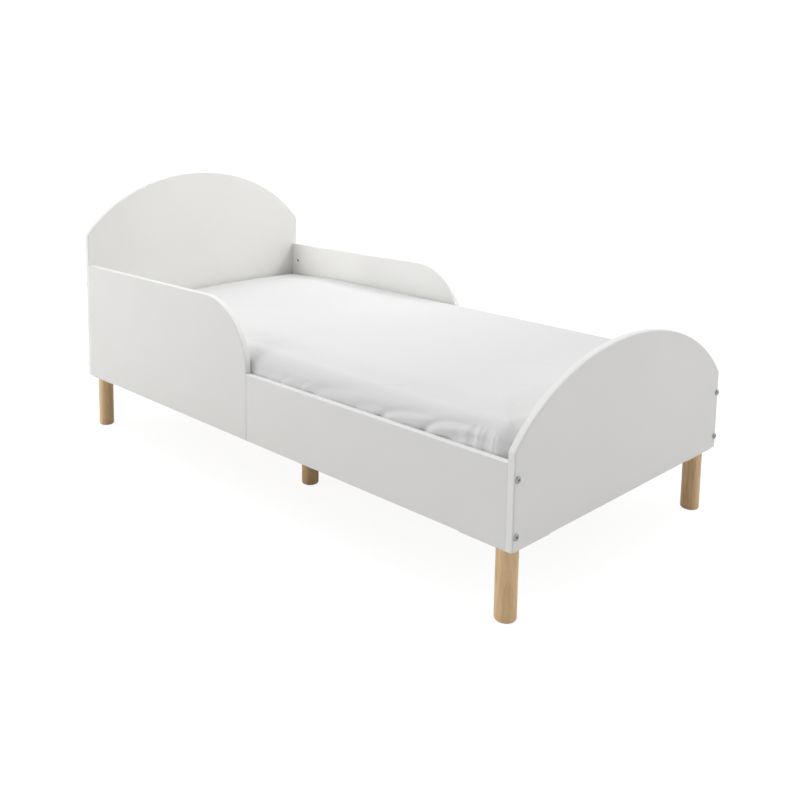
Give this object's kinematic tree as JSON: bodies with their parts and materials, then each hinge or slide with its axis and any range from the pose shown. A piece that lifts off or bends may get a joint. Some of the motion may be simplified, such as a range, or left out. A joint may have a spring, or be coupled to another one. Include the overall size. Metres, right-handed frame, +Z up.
{
  "type": "toddler bed",
  "caption": "White toddler bed on round wooden legs, with arched end boards, side boards tall at the head and low at the foot, a slatted base and a mattress in a fitted sheet.",
  "frame": {"origin": "middle of the bed on the floor, under the bounding box's centre", "axes": "+X along the bed towards the foot end, +Y towards the rear side, +Z up"},
  "size_m": [1.4516, 0.746, 0.694],
  "materials": {
    "board_paint": "satin",
    "base_pine": "matte",
    "webbing": "matte",
    "leg_wood": "satin",
    "plate_paint": "satin",
    "zinc": "satin",
    "dowel_wood": "matte",
    "foam": "matte",
    "sheet_cloth": "matte"
  },
  "bodies": {
    "bed_frame": {"headboard": "board_paint", "footboard": "board_paint", "tall_side_panel_front": "board_paint", "tall_side_panel_rear": "board_paint", "low_side_panel_front": "board_paint", "low_side_panel_rear": "board_paint", "ledger_rail_front": "base_pine", "ledger_rail_rear": "base_pine", "centre_cross_beam": "base_pine", "slat_01": "base_pine", "slat_02": "base_pine", "slat_03": "base_pine", "slat_04": "base_pine", "slat_05": "base_pine", "slat_06": "base_pine", "slat_07": "base_pine", "slat_08": "base_pine", "slat_09": "base_pine", "slat_10": "base_pine", "slat_11": "base_pine", "slat_12": "base_pine", "slat_13": "base_pine", "slat_tape_front": "webbing", "slat_tape_rear": "webbing", "leg_head_front": "leg_wood", "leg_head_rear": "leg_wood", "leg_foot_front": "leg_wood", "leg_foot_rear": "leg_wood", "leg_middle_front": "leg_wood", "leg_middle_rear": "leg_wood", "leg_plate_head_front": "plate_paint", "leg_plate_head_rear": "plate_paint", "leg_plate_foot_front": "plate_paint", "leg_plate_foot_rear": "plate_paint", "leg_plate_middle_front": "plate_paint", "leg_plate_middle_rear": "plate_paint", "connector_bolts": "zinc", "barrel_nuts": "zinc", "leg_hanger_bolts": "zinc", "ledger_screws": "zinc", "beam_screws": "zinc", "slat_screws": "zinc", "plate_screws": "zinc", "tape_staples": "zinc", "alignment_dowels": "dowel_wood"},
    "mattress": {"mattress_core": "foam", "fitted_sheet": "sheet_cloth"}
  },
  "joints": [
    {"name": "mattress_lift", "type": "slide", "parent": "bed_frame", "child": "mattress", "axis": [0, 0, 1], "range_m": [0, 0.46]}
  ]
}
